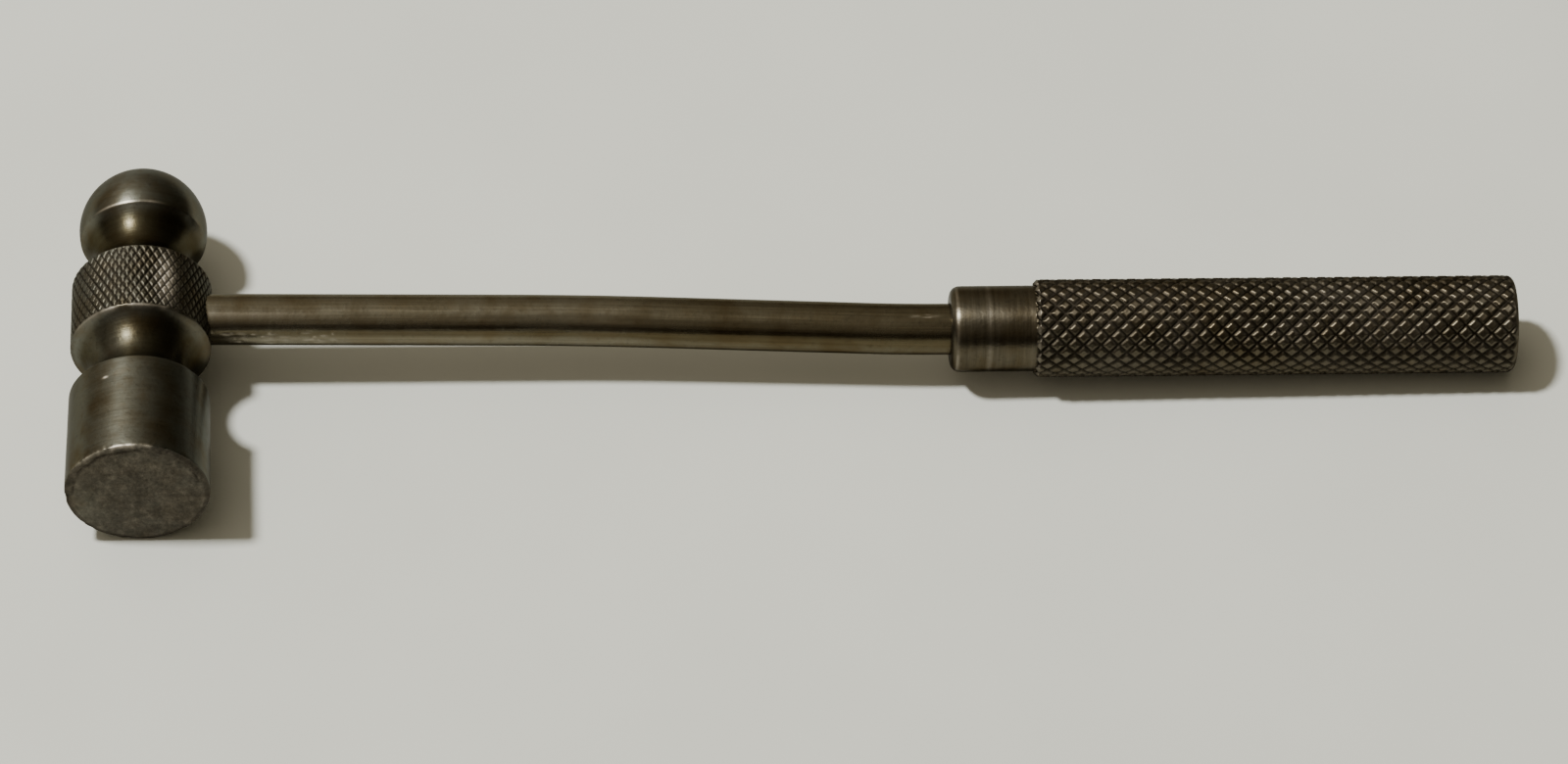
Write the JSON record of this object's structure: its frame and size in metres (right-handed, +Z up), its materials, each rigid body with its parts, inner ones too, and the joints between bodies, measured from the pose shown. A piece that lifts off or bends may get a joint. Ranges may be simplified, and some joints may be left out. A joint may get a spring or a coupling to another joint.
{
  "type": "reflex hammer",
  "caption": "Small all-steel percussion hammer: round striking face, ball peen, knurled band, slim shaft and knurled bar grip.",
  "frame": {"origin": "middle of the footprint of the hammer as it lies at rest, at table height", "axes": "+X along the shaft from the head to the grip, +Y along the head from the striking face to the ball, +Z up"},
  "size_m": [0.1876, 0.053, 0.0186],
  "materials": {
    "head_steel": "turned steel with a dark brown patina, worn brighter on its edges",
    "shaft_steel": "drawn rod with a dull brown patina and a few bright tool marks",
    "grip_steel": "turned collar and diamond knurl, dark in the grooves and worn on the crests"
  },
  "bodies": {
    "root": {"head": "head_steel", "shaft": "shaft_steel", "grip": "grip_steel"}
  },
  "joints": []
}
